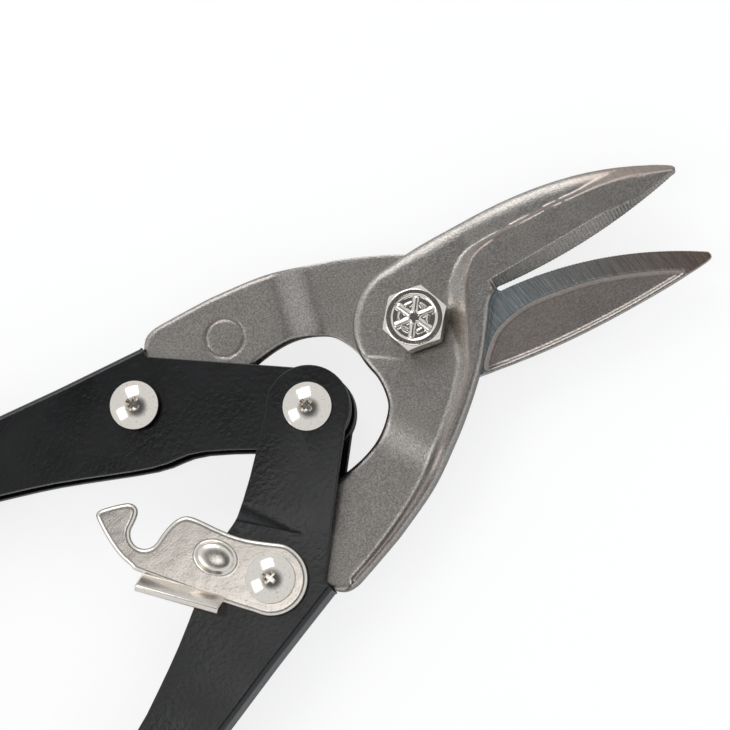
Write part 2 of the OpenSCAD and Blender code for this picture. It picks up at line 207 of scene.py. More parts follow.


# Forged tool steel, shot-blasted and nickel-flashed: a satin grey with a fine sparkle, painted shade in a darker
# brown along its creases, grooves and hollows, and brighter oblique lines where a wheel ground it
def blastedSteel():
    material, tree, surface, place = newMaterial("blasted_steel")
    ground = addNode(tree, "ShaderNodeAttribute", attribute_name="ground").outputs["Fac"]
    strip = addNode(tree, "ShaderNodeAttribute", attribute_name="strip").outputs["Fac"]
    painted_shade = addNode(tree, "ShaderNodeAttribute", attribute_name="painted_shade").outputs["Fac"]
    grit = addNode(tree, "ShaderNodeTexNoise", {"Vector": place, "Scale": perMm(forging["grit"]),
                                                "Detail": 2, "Roughness": 0.7})
    speck = addNode(tree, "ShaderNodeMapRange", {0: grit.outputs[0], 1: 0.35, 2: 0.68})
    blasted = addNode(tree, "ShaderNodeMix", {0: speck.outputs[0], 6: toLinear(forging["blasted"][1]),
                                              7: toLinear(forging["blasted"][0])}, data_type="RGBA")
    patch = addNode(tree, "ShaderNodeTexNoise", {"Vector": place, "Scale": perMm(9), "Detail": 2})
    patchy = addNode(tree, "ShaderNodeMapRange", {0: patch.outputs[0], 1: 0.3, 2: 0.7, 3: 0.93, 4: 1.05})
    # Grinding lines lie across the blade, leaning forward
    lean = addNode(tree, "ShaderNodeMapping", {"Vector": place, "Rotation": (0, 0, math.radians(-14)),
                                               "Scale": (perMm(0.34), perMm(6), perMm(6))})
    lines = addNode(tree, "ShaderNodeTexNoise", {"Vector": lean.outputs[0], "Scale": 1, "Detail": 2})
    along = addNode(tree, "ShaderNodeSeparateXYZ", {0: place})
    far = addNode(tree, "ShaderNodeMapRange", {0: along.outputs[0], 1: 0.018, 2: 0.055})
    groundTone = addNode(tree, "ShaderNodeMix", {0: far.outputs[0], 6: toLinear(forging["ground"][0]),
                                                 7: toLinear(forging["ground"][1])}, data_type="RGBA")
    groundLine = addNode(tree, "ShaderNodeMapRange", {0: lines.outputs[0], 1: 0.3, 2: 0.7, 3: 0.8, 4: 1.15})
    # Painted shade: a darker brown mixed in by the mask over the creases, grooves and hollows
    toned = addNode(tree, "ShaderNodeMix", {0: painted_shade, 6: blasted.outputs[2], 7: toLinear(forging["shade_brown"])},
                    data_type="RGBA")
    blastedAll = addNode(tree, "ShaderNodeVectorMath", {0: toned.outputs[2], "Scale": patchy.outputs[0]},
                         operation="SCALE")
    groundAll = addNode(tree, "ShaderNodeVectorMath", {0: groundTone.outputs[2], "Scale": groundLine.outputs[0]},
                        operation="SCALE")
    colour = addNode(tree, "ShaderNodeMix", {0: ground, 6: blastedAll.outputs[0], 7: groundAll.outputs[0]},
                     data_type="RGBA")
    rough = addNode(tree, "ShaderNodeMapRange", {0: ground, 3: forging["blastedRough"], 4: forging["groundRough"]})
    bite = addNode(tree, "ShaderNodeMapRange", {0: ground, 3: 0.5, 4: 0.05})
    bumpGrit = addNode(tree, "ShaderNodeBump", {"Strength": bite.outputs[0], "Distance": 0.00012,
                                                "Height": grit.outputs[0]})
    cut = addNode(tree, "ShaderNodeMath", {0: ground, 1: 0.3}, operation="MULTIPLY")
    bumpLines = addNode(tree, "ShaderNodeBump", {"Strength": cut.outputs[0], "Distance": 0.0001,
                                                 "Height": lines.outputs[0], "Normal": bumpGrit.outputs[0]})
    # Serration grooves run up the cutting bevel
    reach = addNode(tree, "ShaderNodeAttribute", attribute_name="reach").outputs["Fac"]
    phase = addNode(tree, "ShaderNodeMath", {0: reach, 1: 2 * math.pi / forging["toothPitch"]},
                    operation="MULTIPLY")
    teeth = addNode(tree, "ShaderNodeMath", {0: phase.outputs[0]}, operation="SINE").outputs[0]
    bumpTeeth = addNode(tree, "ShaderNodeBump", {"Strength": strip, "Distance": 0.0001, "Height": teeth,
                                                 "Normal": bumpLines.outputs[0]})
    tree.links.new(colour.outputs[2], surface.inputs["Base Color"])
    tree.links.new(rough.outputs[0], surface.inputs["Roughness"])
    tree.links.new(bumpTeeth.outputs[0], surface.inputs["Normal"])
    surface.inputs["Metallic"].default_value = 1
    return material


plating = {"colour": ("#e6dfd6", "#c9bfb4"), "rough": (0.1, 0.2), "stamped": (0.2, 0.34)}


# Bright nickel plate on turned or stamped steel: near-mirror, warm white, with small dull specks
def nickelPlate(name, rough, ripple):
    material, tree, surface, place = newMaterial(name)
    specks = addNode(tree, "ShaderNodeTexNoise", {"Vector": place, "Scale": perMm(0.5), "Detail": 3,
                                                  "Roughness": 0.65})
    dull = addNode(tree, "ShaderNodeMapRange", {0: specks.outputs[0], 1: 0.56, 2: 0.74})
    colour = addNode(tree, "ShaderNodeMix", {0: dull.outputs[0], 6: toLinear(plating["colour"][0]),
                                             7: toLinear(plating["colour"][1])}, data_type="RGBA")
    roughness = addNode(tree, "ShaderNodeMapRange", {0: dull.outputs[0], 3: rough[0], 4: rough[1]})
    wave = addNode(tree, "ShaderNodeTexNoise", {"Vector": place, "Scale": perMm(3.5), "Detail": 1})
    bumpWave = addNode(tree, "ShaderNodeBump", {"Strength": ripple, "Distance": 0.0005, "Height": wave.outputs[0]})
    bumpSpeck = addNode(tree, "ShaderNodeBump", {"Strength": 0.12, "Distance": 0.0001,
                                                 "Height": specks.outputs[0], "Normal": bumpWave.outputs[0]})
    tree.links.new(colour.outputs[2], surface.inputs["Base Color"])
    tree.links.new(roughness.outputs[0], surface.inputs["Roughness"])
    tree.links.new(bumpSpeck.outputs[0], surface.inputs["Normal"])
    surface.inputs["Metallic"].default_value = 1
    return material


enamel = {"colour": ("#030304", "#07080a"), "peel": 1.1}


# Black stoving enamel sprayed on pressed sheet: deep gloss over a fine orange peel
def blackEnamel():
    material, tree, surface, place = newMaterial("black_enamel")
    cloud = addNode(tree, "ShaderNodeTexNoise", {"Vector": place, "Scale": perMm(14), "Detail": 3})
    colour = addNode(tree, "ShaderNodeMix", {0: cloud.outputs[0], 6: toLinear(enamel["colour"][0]),
                                             7: toLinear(enamel["colour"][1])}, data_type="RGBA")
    rough = addNode(tree, "ShaderNodeMapRange", {0: cloud.outputs[0], 1: 0.3, 2: 0.7, 3: 0.2, 4: 0.32})
    peel = addNode(tree, "ShaderNodeTexNoise", {"Vector": place, "Scale": perMm(enamel["peel"]), "Detail": 2,
                                                "Roughness": 0.55})
    bumpPeel = addNode(tree, "ShaderNodeBump", {"Strength": 0.32, "Distance": 0.0002, "Height": peel.outputs[0]})
    tree.links.new(colour.outputs[2], surface.inputs["Base Color"])
    tree.links.new(rough.outputs[0], surface.inputs["Roughness"])
    tree.links.new(bumpPeel.outputs[0], surface.inputs["Normal"])
    surface.inputs["IOR"].default_value = 1.52
    surface.inputs["Coat Weight"].default_value = 0.2
    surface.inputs["Coat Roughness"].default_value = 0.12
    return material


vinyl = {"colour": ("#a3161b", "#8d1117"), "grain": 0.35}


# Dipped and moulded red PVC: slightly soft sheen over a fine spark-eroded grain
def redVinyl():
    material, tree, surface, place = newMaterial("red_vinyl")
    cloud = addNode(tree, "ShaderNodeTexNoise", {"Vector": place, "Scale": perMm(11), "Detail": 3})
    colour = addNode(tree, "ShaderNodeMix", {0: cloud.outputs[0], 6: toLinear(vinyl["colour"][0]),
                                             7: toLinear(vinyl["colour"][1])}, data_type="RGBA")
    rough = addNode(tree, "ShaderNodeMapRange", {0: cloud.outputs[0], 1: 0.3, 2: 0.7, 3: 0.42, 4: 0.52})
    grain = addNode(tree, "ShaderNodeTexNoise", {"Vector": place, "Scale": perMm(vinyl["grain"]), "Detail": 2})
    bumpGrain = addNode(tree, "ShaderNodeBump", {"Strength": 0.2, "Distance": 0.0001, "Height": grain.outputs[0]})
    tree.links.new(colour.outputs[2], surface.inputs["Base Color"])
    tree.links.new(rough.outputs[0], surface.inputs["Roughness"])
    tree.links.new(bumpGrain.outputs[0], surface.inputs["Normal"])
    surface.inputs["IOR"].default_value = 1.53
    return material


# Plain metals of the hidden parts: sintered bronze, and oil-tempered spring wire
def plainMetal(name, tones, rough, streak):
    material, tree, surface, place = newMaterial(name)
    mark = addNode(tree, "ShaderNodeTexNoise", {"Vector": place, "Scale": perMm(streak), "Detail": 3})
    colour = addNode(tree, "ShaderNodeMix", {0: mark.outputs[0], 6: toLinear(tones[0]), 7: toLinear(tones[1])},
                     data_type="RGBA")
    roughness = addNode(tree, "ShaderNodeMapRange", {0: mark.outputs[0], 1: 0.3, 2: 0.7, 3: rough[0], 4: rough[1]})
    bumpMark = addNode(tree, "ShaderNodeBump", {"Strength": 0.2, "Distance": 0.0001, "Height": mark.outputs[0]})
    tree.links.new(colour.outputs[2], surface.inputs["Base Color"])
    tree.links.new(roughness.outputs[0], surface.inputs["Roughness"])
    tree.links.new(bumpMark.outputs[0], surface.inputs["Normal"])
    surface.inputs["Metallic"].default_value = 1
    return material


finishes = {
    "blasted_steel": blastedSteel(),
    "bright_nickel": nickelPlate("bright_nickel", plating["rough"], 0.1),
    "nickel_plate": nickelPlate("nickel_plate", plating["stamped"], 0.08),
    "black_enamel": blackEnamel(),
    "red_grip": redVinyl(),
    "bronze": plainMetal("sintered_bronze", ("#a07a45", "#82612f"), (0.4, 0.55), 0.4),
    "spring_steel": plainMetal("spring_wire", ("#3a3837", "#24211f"), (0.3, 0.45), 0.7),
}
print("materials ready")


# ---- Shaping tools, in mm ----
def turned(points, degrees):
    a = math.radians(degrees)
    return np.asarray(points, float) @ np.array([[math.cos(a), math.sin(a)], [-math.sin(a), math.cos(a)]])


# A smooth curve through the given points
def smoothLine(points, per=8):
    p = np.asarray(points, float)
    p = np.vstack([p[0], p, p[-1]])
    made = []
    for a, b, c, d in zip(p[:-3], p[1:-2], p[2:-1], p[3:]):
        for t in np.arange(per) / per:
            made.append(0.5 * (2 * b + (c - a) * t + (2 * a - 5 * b + 4 * c - d) * t ** 2
                               + (3 * b - a - 3 * c + d) * t ** 3))
    return np.vstack(made + [p[-1]])


def arcLine(centre, radius, start, end, count=24):
    a = np.radians(np.linspace(start, end, count))
    return np.asarray(centre, float) + radius * np.column_stack([np.cos(a), np.sin(a)])


# The same line with its points an even step apart
def evenLine(points, step):
    p = np.asarray(points, float)
    run = np.concatenate([[0], np.cumsum(np.linalg.norm(np.diff(p, axis=0), axis=1))])
    at = np.linspace(0, run[-1], max(2, round(run[-1] / step) + 1))
    return np.column_stack([np.interp(at, run, p[:, i]) for i in range(p.shape[1])])


# Distance of each point to a line of points, the place along it, and the side (positive on its right)
def nearLine(points, line):
    gap = np.full(len(points), 1e9)
    spot = np.zeros(len(points))
    side = np.zeros(len(points))
    for i, (a, b) in enumerate(zip(line[:-1], line[1:])):
        run = b - a
        share = np.clip((points - a) @ run / max(run @ run, 1e-12), 0, 1)
        off = points - a - share[:, None] * run
        far = np.hypot(off[:, 0], off[:, 1])
        closer = far < gap
        gap[closer] = far[closer]
        spot[closer] = i + share[closer]
        cross = run[0] * (points[:, 1] - a[1]) - run[1] * (points[:, 0] - a[0])
        side[closer] = -np.sign(cross[closer])
    return gap, spot, side


def ease(t):
    t = np.clip(t, 0, 1)
    return t * t * (3 - 2 * t)


# How far a quarter-round rim has fallen at this distance inside the outline
def rimFall(distance, wide, high):
    q = np.clip(1 - distance / np.maximum(wide, 1e-3), 0, 1)
    return high * (1 - np.sqrt(1 - q * q))


# A closed flat blank: the outline, rings inside its rim, then a grid. Gives the upper and lower vertices.
def blank(outline, rings, pitch, level=0.0, marks=()):
    bm = bmesh.new()
    for mark in marks:
        bm.verts.layers.float.new(mark)
    middle = bm.faces.new([bm.verts.new((x, y, 0)) for x, y in outline])
    bm.normal_update()
    if middle.normal.z < 0:
        middle.normal_flip()
    for ring in rings:
        bmesh.ops.inset_region(bm, faces=[middle], thickness=ring, use_boundary=True, use_even_offset=True)
    rest = [middle]
    for axis in (0, 1):
        low = min(outline[:, axis])
        high = max(outline[:, axis])
        done = []
        normal = Vector((1 - axis, axis, 0))
        for k in range(math.ceil((low - level) / pitch), math.ceil((high - level) / pitch)):
            at = k * pitch + level
            geom = rest + list({e for f in rest for e in f.edges}) + list({v for f in rest for v in f.verts})
            cut = bmesh.ops.bisect_plane(bm, geom=geom, dist=1e-5, plane_co=normal * at, plane_no=normal)
            faces = [f for f in cut["geom"] if isinstance(f, bmesh.types.BMFace)]
            done += [f for f in faces if f.calc_center_bounds()[axis] <= at]
            rest = [f for f in faces if f.calc_center_bounds()[axis] > at]
        rest = done + rest
    made = bmesh.ops.extrude_face_region(bm, geom=bm.faces[:])
    upper = [v for v in made["geom"] if isinstance(v, bmesh.types.BMVert)]
    lifted = set(upper)
    lower = [v for v in bm.verts if v not in lifted]
    return bm, upper, lower


# One closed outline from sections (points, rim, rim ...), and each rim's values at every point of it. Corners
# between sections are eased, past the first few that keep their exact points.
def joinSections(sections, steps, keep=0):
    lines = [evenLine(section[0], step) for section, step in zip(sections, steps)]
    outline = np.vstack([line[:-1] for line in lines])
    free = np.ones(len(outline), bool)
    free[:sum(len(line) - 1 for line in lines[:keep]) + (1 if keep else 0)] = False
    for _ in range(2):
        middle = 0.5 * outline + 0.25 * (np.roll(outline, 1, 0) + np.roll(outline, -1, 0))
        outline[free] = middle[free]
    rims = []
    for side in range(1, len(sections[0])):
        rim = np.vstack([np.tile(section[side], (len(line) - 1, 1)) for section, line in zip(sections, lines)])
        for _ in range(12):
            rim = 0.5 * rim + 0.25 * (np.roll(rim, 1, 0) + np.roll(rim, -1, 0))
        rims.append(rim)
    return outline, rims


def flatPlaces(verts):
    return np.array([v.co.xy for v in verts])


def setHeights(verts, heights):
    for v, z in zip(verts, heights):
        v.co.z = z


def paint(bm, name, verts, values):
    layer = bm.verts.layers.float[name]
    for v, value in zip(verts, values):
        v[layer] = value


# Makes the finished piece: place in metres, shading, material, body, slot and the CAD nodes it stands for
def addPiece(bm, name, body, slot, replaced, place=Matrix(), sharp=35, cutters=(), weighted=False):
    bmesh.ops.transform(bm, matrix=toMetres @ place, verts=bm.verts[:])
    bmesh.ops.recalc_face_normals(bm, faces=bm.faces[:])
    mesh = bpy.data.meshes.new(name)
    bm.to_mesh(mesh)
    bm.free()
    piece = bpy.data.objects.new(name, mesh)
    bpy.context.scene.collection.objects.link(piece)
    for kind, cutter in cutters:
        bmesh.ops.transform(cutter, matrix=toMetres @ place, verts=cutter.verts[:])
        bmesh.ops.recalc_face_normals(cutter, faces=cutter.faces[:])
        tool = bpy.data.objects.new("cutter", bpy.data.meshes.new("cutter"))
        cutter.to_mesh(tool.data)
        cutter.free()
        bpy.context.scene.collection.objects.link(tool)
        step = piece.modifiers.new("cut", "BOOLEAN")
        step.operation = kind
        step.solver = "EXACT"
        step.object = tool
        bpy.context.view_layer.update()
        result = bpy.data.meshes.new_from_object(piece.evaluated_get(bpy.context.evaluated_depsgraph_get()))
        piece.modifiers.remove(step)
        piece.data = result
        bpy.data.objects.remove(tool)
    mesh = piece.data
    mesh.name = name
    mesh.polygons.foreach_set("use_smooth", [True] * len(mesh.polygons))
    mesh.set_sharp_from_angle(angle=math.radians(sharp))
    if weighted:
        even = piece.modifiers.new("evenShading", "WEIGHTED_NORMAL")
        even.keep_sharp = True
    mesh.materials.clear()
    mesh.materials.append(finishes[slot])
    if body:
        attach(piece, body)
    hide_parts(*replaced)
    print("made", name, len(mesh.polygons))
    return piece


def roundBar(radius, low, high, centre=(0, 0), sides=64):
    bm = bmesh.new()
    bmesh.ops.create_cone(bm, cap_ends=True, segments=sides, radius1=radius, radius2=radius, depth=high - low)
    bmesh.ops.translate(bm, verts=bm.verts[:], vec=(centre[0], centre[1], (low + high) / 2))
    return bm


# ---- Jaws ----
jaw = {
    "bladeLen": 65.2, "bladeWide": 14.9, "hubRadius": 14.4, "hubTop": 4.65, "inner": 0.05,
    "rib": 3.8, "ribTip": 2.75, "web": 2.25, "webTip": 1.5, "hollow": 0.6, "edge": 0.5,
    "armReach": 64, "armAngle": 22.33, "armTop": 2.5, "armOuter": 20.1, "armInner": 4.6, "eyeRadius": 7.5,
    "stepIn": 19.6, "stepOut": 29.1, "rootShare": 0.29, "pitch": 0.36, "toothPitch": 0.8, "toothHigh": 0.2,
    "boltHole": 4.02,
}
jawKinds = {
    "jaw_front": {"turn": -8.4, "belly": 3.3, "bow": 3, "eyeHole": 2.9},
    "jaw_rear": {"turn": 25.4, "belly": 1.8, "bow": 4.7, "eyeHole": 2.55},
}


def cuttingLine(t, bow):
    return -bow * (1 - ((t - 0.56) / 0.44) ** 2)


def backLine(t, belly):
    return jaw["bladeWide"] * (1 - 0.9 * t ** belly)


def armToBlade(points, kind):
    return turned(points, jaw["armAngle"] - 180 - kind["turn"])


def bladeToArm(points, kind):
    return turned(points, 180 - jaw["armAngle"] + kind["turn"])


# Closed outline in the blade's frame: +X to the tip, +Y to the back. Each section carries the rounding of its
# rim, (width, height), on the outer face and on the inner face.
def jawSections(kind):
    length = jaw["bladeLen"]
    hub = jaw["hubRadius"]
    shares = np.linspace(jaw["rootShare"], 0.975, 60)
    edge = [(t * length, cuttingLine(t, kind["bow"])) for t in shares]
    tip = arcLine((length - 1.15, 0.85), 1.15, -60, 75, 10)
    back = [(t * length, backLine(t, kind["belly"])) for t in np.linspace(0.94, 0.1, 18)]
    hubArc = arcLine((0, 0), hub, 92, 184.5 - kind["turn"], 30)
    inner = smoothLine([(62.6, -7.45), (55.7, -5.4), (44.8, -2.2), (35.8, 2.07), (30.1, 4.0), (24.5, 4.6),
                        (19.6, 3.6), (16.9, 1.4), (14.8, -1.6), (13.7, -4.4)])[::-1]
    eye = arcLine((jaw["armReach"], 0), jaw["eyeRadius"], -100, 82, 30)
    heel = smoothLine([(60.5, 8.76), (59.5, 12.2), (58.6, 14.4), (57.0, 15.7), (54.5, 16.7)], 6)
    outer = smoothLine([(42.9, 19.0), (30.7, 20.3), (19.8, 20.0), (10.2, 18.7), (1.2, 16.7), (-4.3, 14.7),
                        (-8.9, 12.8), (-11.8, 11.3)])
    return [
        (edge, (0.1, 0.05), (0.1, 0.02)),
        (tip, (0.8, 0.5), (0.5, 0.1)),
        (back, (3.6, 1.5), (0.5, 0.3)),
        (hubArc, (2.0, 1.3), (0.4, 0.2)),
        (armToBlade(inner, kind), (1.5, 1.1), (1.5, 1.1)),
        (armToBlade(eye, kind), (0.8, 0.5), (0.8, 0.5)),
        (armToBlade(heel, kind), (1.3, 0.9), (1.3, 0.9)),
        (armToBlade(outer, kind), (1.1, 0.8), (1.4, 1.1)),
    ]


# The line where the outer face turns down: under the back rib, round the hub's corner and down the throat.
# x, y, then the width and height of the slope beyond it.
bladeShoulder = [
    (64.4, 0.2, 0.8, 0.5), (60.5, 1.7, 1.6, 0.7), (56, 3.3, 2.4, 0.85), (49.2, 5.2, 1.9, 1.0),
    (43.3, 6.1, 1.3, 1.15), (37.4, 6.8, 1.1, 1.25), (30.6, 7.1, 1.1, 1.35), (24.6, 7.2, 1.3, 1.6),
    (20.7, 6.8, 2.0, 2.0), (17.8, 5.9, 3.0, 2.4), (15.7, 4.1, 3.8, 2.4), (13.6, 1.3, 4.6, 2.4),
    (11.3, -3.2, 5.0, 2.2),
]
armShoulder = [
    (-1.4, 12.7, 4.2, 2.0), (3.3, 15.2, 3.4, 1.9), (10.6, 17.1, 3.0, 1.6), (19.7, 18.3, 2.6, 1.4),
    (30.6, 18.9, 2.2, 1.2), (40, 18.3, 1.9, 1.1), (48.6, 17.1, 1.8, 1.0), (55.2, 15.6, 1.6, 0.9),
]
# Upper edge of the strip ground on the inner face beside the cutting edge
groundLine = [(11.5, 14), (12.2, 11.2), (15.2, 6.4), (18.5, 3.7), (24.2, 1.3), (32.1, 0.2), (39.8, -0.2),
              (47.4, 0.4), (54.6, 1.5), (59.3, 2.7), (61.8, 3.8)]
stripTop = -0.3  # upper edge of the bevel above the cutting edge


def shoulderLine(kind):
    arm = np.array(armShoulder)
    arm[:, :2] = armToBlade(arm[:, :2], kind)
    return evenLine(smoothLine(np.vstack([bladeShoulder, arm]), 6), 0.5)


def jawHeights(places, outline, rims, kind, outer):
    armPlaces = bladeToArm(places, kind)
    gap, spot, _ = nearLine(places, np.vstack([outline, outline[:1]]))
    nearest = np.minimum(np.round(spot).astype(int), len(outline) - 1)
    wide, high = rims[nearest, 0], rims[nearest, 1]
    step = ease((armPlaces[:, 0] - jaw["stepIn"]) / (jaw["stepOut"] - jaw["stepIn"]))
    x, y = places[:, 0], places[:, 1]
    share = x / jaw["bladeLen"]
    onBlade = x > 17.5
    cut = cuttingLine(share, kind["bow"])
    marks = {}
    if outer:
        z = jaw["hubTop"] + (jaw["armTop"] - jaw["hubTop"]) * step
        rib = jaw["inner"] + jaw["rib"]
        ribLevel = rib + (jaw["ribTip"] - rib) * np.clip((share - 0.31) / 0.69, 0, 1)
        z = np.where(x > 0, jaw["hubTop"] + (ribLevel - jaw["hubTop"]) * ease((x - 10) / 9.5), z)
        line = shoulderLine(kind)
        off, along, side = nearLine(places, line[:, :2])
        index = np.minimum(np.round(along).astype(int), len(line) - 1)
        fall = ease(side * off / line[index, 2])
        z = z - line[index, 3] * fall
        floor = jaw["web"] + (jaw["webTip"] - jaw["web"]) * ease((share - 0.6) / 0.4)
        z = np.where((x > 22) & (side > 0) & (off > line[index, 2]), np.minimum(z, floor + 0.4 * (z - floor)), z)
        top = np.where(x < 47, stripTop, stripTop + (cut + 0.3 - stripTop) * ease((x - 47) / 12))
        bevel = (y - cut) / np.maximum(top - cut, 0.3)
        low = jaw["edge"]
        sink = ease((x - 17.5) / 1.6) * (bevel < 1)
        z = z + sink * (low - z) * (1 - np.clip(bevel, 0, 1))
        marks["strip"] = np.where(onBlade & (bevel < 1.02), 1.0, 0.0)
        # Painted shade: a dark brown band along the shoulder under the rib
        marks["painted_shade"] = np.exp(-((side * off - 0.35) / 0.4) ** 2) * 0.8
        marks["ground"] = ease((side * off - 0.3) / 0.8) * ease((x - 41) / 5) * (y > cut) * 0.75
    else:
        z = jaw["inner"] + (-jaw["armTop"] - jaw["inner"]) * step
        line = evenLine(smoothLine(groundLine, 6), 0.4)
        off, _, side = nearLine(places, line)
        behind = -side * off
        backGap = backLine(np.clip(share, 0, 1), kind["belly"]) - 0.7 - y
        relief = ease(behind / 0.9) * ease(backGap / 0.8) * (x > 9) * (share < 0.97)
        z = z + jaw["hollow"] * relief
        marks["ground"] = np.where((x > 9) & (-side * off < 0.05), 1.0, 0.0)
        # Painted shade: darker over the hollow behind the ground line, with a dark band along its edge
        marks["painted_shade"] = np.where(x > 9, 0.35 * relief + 0.5 * np.exp(-((behind - 0.4) / 0.35) ** 2), 0.0)
        ring = np.hypot(armPlaces[:, 0] - 41.5, armPlaces[:, 1] - 9.4)
        if kind["turn"] > 0:
            z = z + 0.22 * np.exp(-((ring - 4.2) / 0.3) ** 2)
            # Painted shade in the sunken ring's groove
            marks["painted_shade"] = np.maximum(marks["painted_shade"], 0.7 * np.exp(-((ring - 4.2) / 0.3) ** 2))
    rounding = rimFall(gap, wide, high)
    z = z - rounding if outer else z + rounding * np.where(x > 9, 1, np.maximum(step, 0.15))
    marks["reach"] = x
    return z, marks


def makeJaw(name):
    kind = jawKinds[name]
    steps = [jaw["toothPitch"] / 2] + [0.45] * 7
    outline, rims = joinSections(jawSections(kind), steps, keep=1)
    bm, upper, lower = blank(outline, (0.1, 0.16, 0.24), jaw["pitch"], stripTop,
                             ("ground", "strip", "painted_shade", "reach"))
    for verts, rim, outer in ((upper, rims[0], True), (lower, rims[1], False)):
        heights, marks = jawHeights(flatPlaces(verts), outline, rim, kind, outer)
        setHeights(verts, heights)
        for mark, values in marks.items():
            paint(bm, mark, verts, values)
    # Teeth: every second point of the cutting edge stands proud
    teeth = evenLine(jawSections(kind)[0][0], steps[0])[1:-1:2]
    gaps = {tuple(np.round(p, 4)) for p in teeth}
    for v in bm.verts:
        if (round(v.co.x, 4), round(v.co.y, 4)) in gaps:
            v.co.y += jaw["toothHigh"]
    flip = Matrix.Rotation(math.pi, 4, "X") if name == "jaw_rear" else Matrix()
    place = Matrix.Translation((0, 0, midZ)) @ flip @ Matrix.Rotation(math.radians(kind["turn"]), 4, "Z")
    eye = armToBlade([(jaw["armReach"], 0)], kind)[0]
    holes = [("DIFFERENCE", roundBar(jaw["boltHole"], -9, 9)),
             ("DIFFERENCE", roundBar(kind["eyeHole"], -9, 9, eye))]
    addPiece(bm, name + "_forging", name, "blasted_steel", [name], place, 40, holes)


for name in jawKinds:
    makeJaw(name)


# ---- Handles and other pieces whose plain CAD form only wants its edges finished ----
def cadCopy(node):
    bm = bmesh.new()
    bm.from_mesh(cadNodes[node].data)
    bmesh.ops.remove_doubles(bm, verts=bm.verts[:], dist=1e-6)
    bmesh.ops.transform(bm, matrix=toMetres.inverted(), verts=bm.verts[:])
    bmesh.ops.dissolve_limit(bm, angle_limit=math.radians(0.6), verts=bm.verts[:], edges=bm.edges[:])
    return bm


def edgeAngle(edge):
    return math.degrees(edge.calc_face_angle(0))


def bevelEdges(bm, edges, offset, segments):
    bmesh.ops.bevel(bm, geom=edges, offset=offset, offset_type="OFFSET", segments=segments, profile=0.5,
                    affect="EDGES", material=-1, clamp_overlap=True, harden_normals=False)


handle = {"bend": 1.5, "bendSteps": 6, "burr": 0.22}


def makeHandle(name):
    bm = cadCopy(name)
    # The sheet is bent round a radius along the closed edge; everything else is a sheared edge
    bent = []
    for edge in bm.edges:
        if len(edge.link_faces) != 2 or edgeAngle(edge) < 60:
            continue
        flat = max(edge.link_faces, key=lambda f: abs(f.normal.z))
        wall = min(edge.link_faces, key=lambda f: abs(f.normal.z))
        tall = max(v.co.z for v in wall.verts) - min(v.co.z for v in wall.verts)
        if abs(flat.normal.z) > 0.9 and tall > 8 and abs(abs(edge.verts[0].co.z - midZ) - 4.45) < 0.02:
            bent.append(edge)
    bevelEdges(bm, bent, handle["bend"], handle["bendSteps"])
    sharp = [e for e in bm.edges if len(e.link_faces) == 2 and edgeAngle(e) > 50]
    bevelEdges(bm, sharp, handle["burr"], 2)
    addPiece(bm, name + "_channel", name, "black_enamel", [name], sharp=50, weighted=True)


for name in ("handle_upper", "handle_lower"):
    makeHandle(name)


small = {  # node: (body, slot, bevel)
    "pivot_washer": ("jaw_rear", "bright_nickel", 0.15),
    "pivot_nut": ("jaw_rear", "bright_nickel", 0.3),
    "handle_pivot_bushing": ("handle_lower", "bronze", 0.1),
    "handle_pivot_washer": ("handle_lower", "bright_nickel", 0.12),
    "handle_pivot_nut": ("handle_lower", "bright_nickel", 0.2),
    "link_washer_upper": ("handle_upper", "bright_nickel", 0.12),
    "link_nut_upper": ("handle_upper", "bright_nickel", 0.2),
    "latch_post": ("handle_upper", "bright_nickel", 0.1),
    "link_washer_lower": ("handle_lower", "bright_nickel", 0.12),
    "link_nut_lower": ("handle_lower", "bright_nickel", 0.2),
    "latch_washer": ("handle_lower", "bright_nickel", 0.1),
}


def makeSmall(node, body, slot, round):
    bm = cadCopy(node)
    bevelEdges(bm, [e for e in bm.edges if edgeAngle(e) > 40], round, 2)
    addPiece(bm, node + "_finished", body, slot, [node], sharp=40, weighted=True)


for node, facts in small.items():
    makeSmall(node, *facts)


# ---- Pivot bolt ----
bolt = {"across": 12.7, "radius": 3.97, "headLow": 4.65, "headHigh": 4.6, "turn": 40.8, "ribWide": 0.5,
        "ribHigh": 0.26, "dish": 0.25, "dishRadius": 5.1, "pitch": 0.2, "chamferFrom": 6.15}


def makeBolt():
    corner = bolt["across"] / 2 / math.cos(math.pi / 6)
    corners = arcLine((0, 0), corner, bolt["turn"], bolt["turn"] + 360, 7)
    outline = evenLine(corners, corner / 24)[:-1]
    bm, upper, lower = blank(outline, (0.12, 0.2), bolt["pitch"])
    places = flatPlaces(upper)
    radius = np.hypot(places[:, 0], places[:, 1])
    angle = np.degrees(np.arctan2(places[:, 1], places[:, 0])) - bolt["turn"] - 4
    off = np.radians((angle + 30) % 60 - 30) * radius  # sideways from the nearest of six radial ribs
    head = bolt["headLow"] + bolt["headHigh"]
    chamfer = np.maximum(0, radius - bolt["chamferFrom"]) * math.tan(math.radians(33))
    dish = bolt["dish"] * ease((bolt["dishRadius"] - radius) / 0.5)
    rib = ease((radius - 0.9) / 0.5) * ease((4.8 - radius) / 0.5) * np.exp(-(off / bolt["ribWide"]) ** 2)
    arc = np.exp(-((radius - 3.1) / 0.35) ** 2) * ease((np.abs(off) - 0.6) / 0.3)
    boss = 0.25 * ease((1.5 - radius) / 0.6)
    setHeights(upper, head - 0.03 - chamfer - dish + bolt["ribHigh"] * np.maximum(rib, 0.55 * arc) + boss)
    setHeights(lower, np.full(len(lower), bolt["headLow"]))
    shank = roundBar(bolt["radius"], -midZ, bolt["headLow"] + 0.01)
    ends = [e for e in shank.edges if edgeAngle(e) > 60 and e.verts[0].co.z < 0 and e.verts[1].co.z < 0]
    bevelEdges(shank, ends, 0.4, 2)
    addPiece(bm, "pivot_bolt_finished", "jaw_rear", "bright_nickel", ["pivot_bolt"],
             Matrix.Translation((0, 0, midZ)), 50, [("UNION", shank)])


makeBolt()


